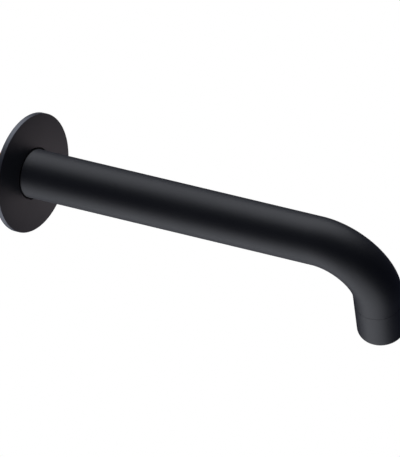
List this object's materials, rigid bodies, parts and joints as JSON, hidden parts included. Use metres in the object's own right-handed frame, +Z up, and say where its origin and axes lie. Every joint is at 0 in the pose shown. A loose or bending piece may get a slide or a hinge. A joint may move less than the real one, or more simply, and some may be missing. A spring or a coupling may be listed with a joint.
{
  "type": "wall spout",
  "caption": "Round wall-mounted water spout: a bent black tube on a thin round flange, outlet turned down and slightly back, with an aerator in a screwed collar.",
  "frame": {"origin": "centre of the tube axis at the wall plane, where the thread of the nipple enters the wall", "axes": "+Y runs into the wall along the thread, the spout runs along -Y, +Z is up"},
  "size_m": [0.0615, 0.229, 0.0944],
  "materials": {
    "black_finish": "satin",
    "raw_brass": "machined",
    "stainless_steel": "machined",
    "screen_steel": "woven wire",
    "black_rubber": "matte",
    "foam_rubber": "closed-cell foam",
    "aerator_plastic": "moulded",
    "regulator_plastic": "moulded",
    "regulator_rubber": "matte",
    "filter_plastic": "moulded"
  },
  "bodies": {
    "root": {"spout_tube": "black_finish", "wall_flange": "black_finish", "aerator_collar": "black_finish", "inlet_bush": "raw_brass", "outlet_bush": "raw_brass", "wall_nipple": "raw_brass", "spigot_seal_1": "black_rubber", "spigot_seal_2": "black_rubber", "grub_screw": "stainless_steel", "flange_grip_ring": "black_rubber", "flange_gasket": "foam_rubber", "collar_washer": "black_rubber", "aerator_housing": "aerator_plastic", "outlet_grid": "aerator_plastic", "lower_screen": "screen_steel", "upper_screen": "screen_steel", "jet_plate": "aerator_plastic", "regulator_body": "regulator_plastic", "regulator_ring": "regulator_rubber", "dome_filter": "filter_plastic"}
  },
  "joints": []
}
